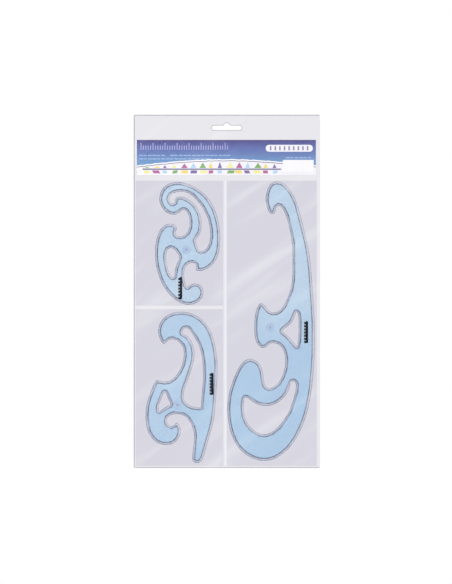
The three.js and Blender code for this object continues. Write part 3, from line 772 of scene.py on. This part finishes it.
def torn_foot():
    """A white foot with one even swell: its rough lip and shadow, a band, and two rows of plain scraps."""
    art = Artwork()
    chance = np.random.default_rng(11)
    width = art.high[0] - art.low[0]
    places = np.linspace(0, width, TEAR_POINTS)
    heights = FOOT_LEVEL + FOOT_SWELL * np.sin(math.pi * places / width)
    heights += chance.uniform(-TEAR_ROUGHNESS, TEAR_ROUGHNESS, TEAR_POINTS)
    path = list(zip(places, heights))
    art.strip("white", path, 0, art.high[2] - art.low[2])
    art.layer = 2
    count = len(SCRAP_INKS)
    for number, start in enumerate(np.arange(SCRAPS_START, SCRAPS_END, SCRAP_SPACING)):
        slab_ink, flag_ink = SCRAP_INKS[number % count], SCRAP_INKS[(number + count // 2) % count]
        wide, lean = chance.uniform(*SCRAP_WIDTHS), chance.uniform(*SCRAP_LEANS)
        end, tip = start + wide, start + wide / 2
        tip_height = np.interp(tip, places, heights) - FLAG_CLEARANCE
        foot, top = SLAB_FOOT, SLAB_TOP
        art.shape(slab_ink, [(start, foot), (end, foot), (end + lean, top), (start + lean, top)])
        art.layer += SCRAP_STEP
        art.shape(flag_ink, [(start, FLAG_FOOT), (end, FLAG_FOOT), (tip, tip_height)])
        art.layer += SCRAP_STEP
    art.layer = 5
    art.bar("indigo", *BAND)
    art.layer = 6
    art.strip("shadow", path, SHADOW_DROP, SHADOW_THICKNESS)
    art.layer = 7
    art.strip("lip", path, 0, LIP_THICKNESS)
    return art.piece("card_torn_foot")


def card_wording():
    """What stands in for the wording: an even ruler scale, a plain plaque and dashed lines."""
    art = Artwork()
    for number, start in enumerate(np.arange(SCALE_START, SCALE_END, SCALE_SPACING)):
        height = SHORT_TICK if number % TICKS_TO_LONG else LONG_TICK
        art.bar("lavender", start, start + TICK_WIDTH, TICK_FOOT, TICK_FOOT + height)
    for left, right, bottom in DASHED_LINES:
        for number, start in enumerate(np.arange(left, right, DASH_SPACING)):
            length = DASH_LENGTHS[number % len(DASH_LENGTHS)]
            art.bar("pale", start, min(start + length, right), bottom, bottom + DASH_HEIGHT)
    art.shape("white", rounded_rectangle(*PLAQUE))
    art.layer = 2
    for start in PLAQUE_BARS:
        art.bar("lilac", start, start + PLAQUE_BAR_WIDTH, PLAQUE_BAR_FOOT, PLAQUE_BAR_TOP)
    return art.piece("card_wording")


# ---- Scene ----


def film_pouch():
    """The two film sheets, the welds between the pockets and the beads along the cut edges."""
    loose = film_material("clear_film", (0.828, 0.824, 0.870), (0.870, 0.867, 0.897), 0.07, 0.05)
    window = film_material("clear_header_film", (0.895, 0.893, 0.910), (0.915, 0.913, 0.930), 0.07, 0.03)
    fused = film_material("fused_film", (0.905, 0.902, 0.926), (0.925, 0.922, 0.940), 0.2, 0.03)
    bead = film_material("melted_bead", (0.72, 0.72, 0.755), (0.76, 0.76, 0.80), 0.15, 0.05)
    front = film_sheet("front_sheet", -1, FRONT_LIFT, [loose, window])
    place(front, "pouch", "clear_film", "front_film")
    rear_lifts = {content: REAR_LIFT for content in FRONT_LIFT}
    rear = film_sheet("rear_sheet", 1, rear_lifts, [loose, window])
    place(rear, "pouch", "clear_film", "rear_film")
    fused_seams(fused, ridge_material())
    beads(bead)


def header_print():
    """The card's printed shapes, which lie on the card and move with it."""
    for piece in (torn_foot(), card_wording()):
        place(piece, "card", "printed_card")


def dress_cad_nodes():
    """Gives the pieces that keep their CAD meshes their materials."""
    mark = mark_material()
    surfaces = {
        "header_card": card_material(),
        "price_label": plain_material("label_paper", (0.80, 0.80, 0.79), 0.6, grain=0.02, grain_size=1),
    }
    for size in GATES:
        surfaces[size + "_curve"] = plate_material(size)
        surfaces[size + "_mark"] = mark
    for node, surface in surfaces.items():
        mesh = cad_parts[node].data
        mesh.materials.clear()
        mesh.materials.append(surface)


def floor():
    """A plain pale floor under the hanging pouch."""
    low = CAD_BOX[0][2] / MM - FLOOR_DROP
    corners = [(x, y, low) for x, y in rectangle(-FLOOR_REACH, FLOOR_REACH, -FLOOR_REACH, FLOOR_REACH)]
    surface = plain_material("floor", (0.86, 0.86, 0.86), 0.8)
    mesh_piece("floor", corners, [(0, 1, 2, 3)], [surface])


def lights():
    """An even white surround, and one large soft light from the upper left."""
    world = bpy.data.worlds.new("white_room")
    world.use_nodes = True
    world.node_tree.nodes["Background"].inputs["Color"].default_value = (1, 1, 1, 1)
    world.node_tree.nodes["Background"].inputs["Strength"].default_value = 1
    bpy.context.scene.world = world
    lamp = bpy.data.lights.new("key_light", "AREA")
    lamp.shape = "RECTANGLE"
    lamp.size, lamp.size_y = LIGHT_WIDTH, LIGHT_HEIGHT
    lamp.energy = LIGHT_POWER
    key = bpy.data.objects.new("key_light", lamp)
    key.location = LIGHT_PLACE
    aim = Vector(LIGHT_TARGET) - key.location
    key.rotation_mode = "QUATERNION"
    key.rotation_quaternion = aim.to_track_quat("-Z", "Y")
    bpy.context.scene.collection.objects.link(key)


def camera():
    lens = bpy.data.cameras.new("camera")
    lens.type = "ORTHO"
    lens.ortho_scale = VIEW_HEIGHT * MM
    viewer = bpy.data.objects.new("camera", lens)
    viewer.location = (VIEW_CENTRE[0] * MM, -VIEW_DISTANCE * MM, VIEW_CENTRE[1] * MM)
    viewer.rotation_euler = (math.pi / 2, 0, 0)
    bpy.context.scene.collection.objects.link(viewer)
    bpy.context.scene.camera = viewer
    bpy.context.scene.view_settings.view_transform = "Standard"


camera()
lights()
floor()
film_pouch()
header_print()
dress_cad_nodes()
